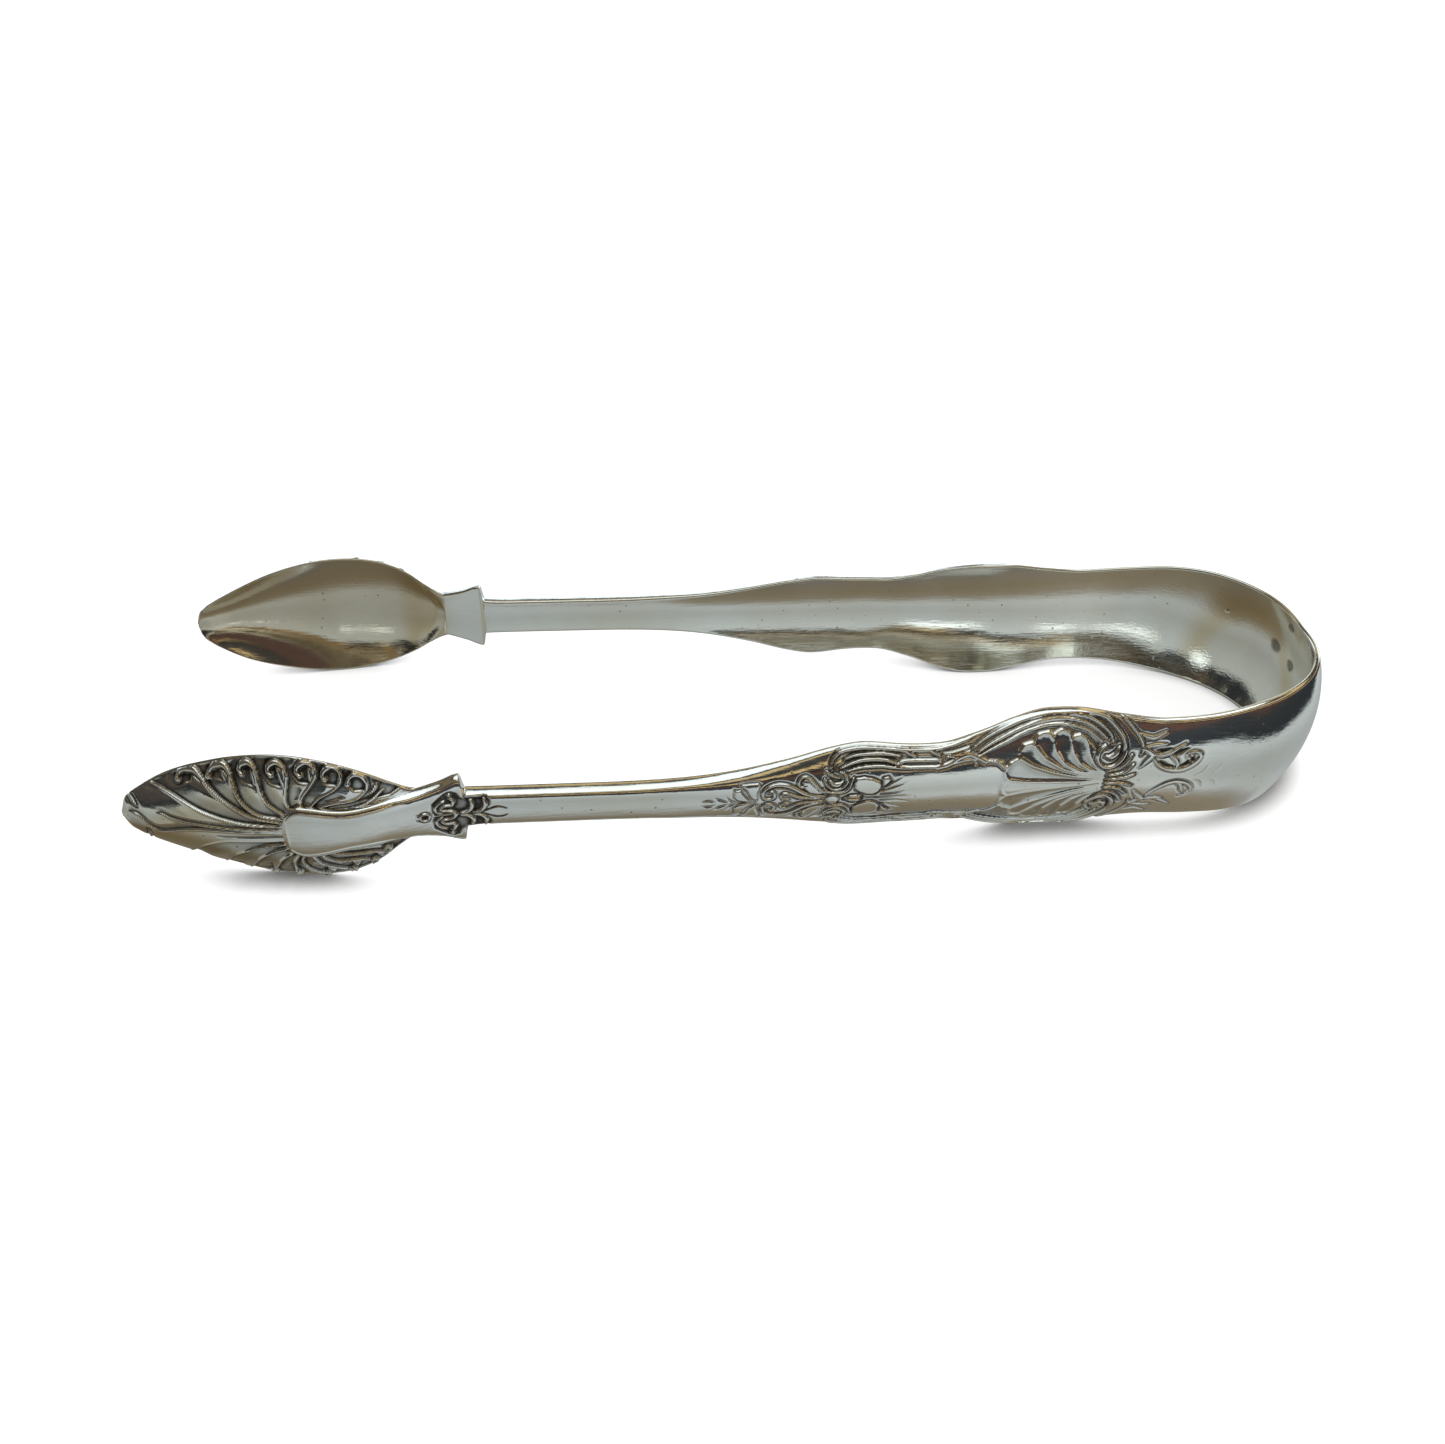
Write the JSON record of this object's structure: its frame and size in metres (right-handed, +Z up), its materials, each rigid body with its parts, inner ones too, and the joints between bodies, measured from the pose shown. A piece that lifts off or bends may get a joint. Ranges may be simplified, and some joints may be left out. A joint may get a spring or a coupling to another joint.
{
  "type": "ice tongs",
  "caption": "Silver ice tongs: one U-shaped sprung bow with two scroll-ornamented arms ending in shell-backed bowls.",
  "frame": {"origin": "centre of the bottom of the box round the tongs, which lie on one side", "axes": "+X from the bowls' tips to the crown of the bow, +Y across the gap from the near arm to the far arm, +Z up, across the width of the strip"},
  "size_m": [0.161, 0.0522, 0.0196],
  "materials": {
    "polished_silver": "sterling silver, hand polished, with fine scratches and a few pits",
    "struck_silver": "sterling silver, die-struck relief, polished on the heights and dark with tarnish in the hollows",
    "bowl_silver": "sterling silver, smooth inside the bowl, shell relief with dark hollows on its back"
  },
  "bodies": {
    "bow": {"bow": "polished_silver"},
    "near_arm": {"near_arm": "struck_silver", "near_bowl": "bowl_silver"},
    "far_arm": {"far_arm": "struck_silver", "far_bowl": "bowl_silver"}
  },
  "joints": [
    {"name": "near_arm_squeeze", "type": "hinge", "parent": "bow", "child": "near_arm", "pos_m": [0.07552, -0.01097, 0.0098], "axis": [0, 0, -1], "range_deg": [-2, 7.3], "stiffness_Nm_per_rad": 5, "deforming": ["bow"]},
    {"name": "far_arm_squeeze", "type": "hinge", "parent": "bow", "child": "far_arm", "pos_m": [0.07552, 0.01097, 0.0098], "axis": [0, 0, 1], "range_deg": [-2, 7.3], "stiffness_Nm_per_rad": 5, "deforming": ["bow"]}
  ],
  "couplings": [
    {"joint": "far_arm_squeeze", "follows": "near_arm_squeeze", "ratio": 1}
  ]
}
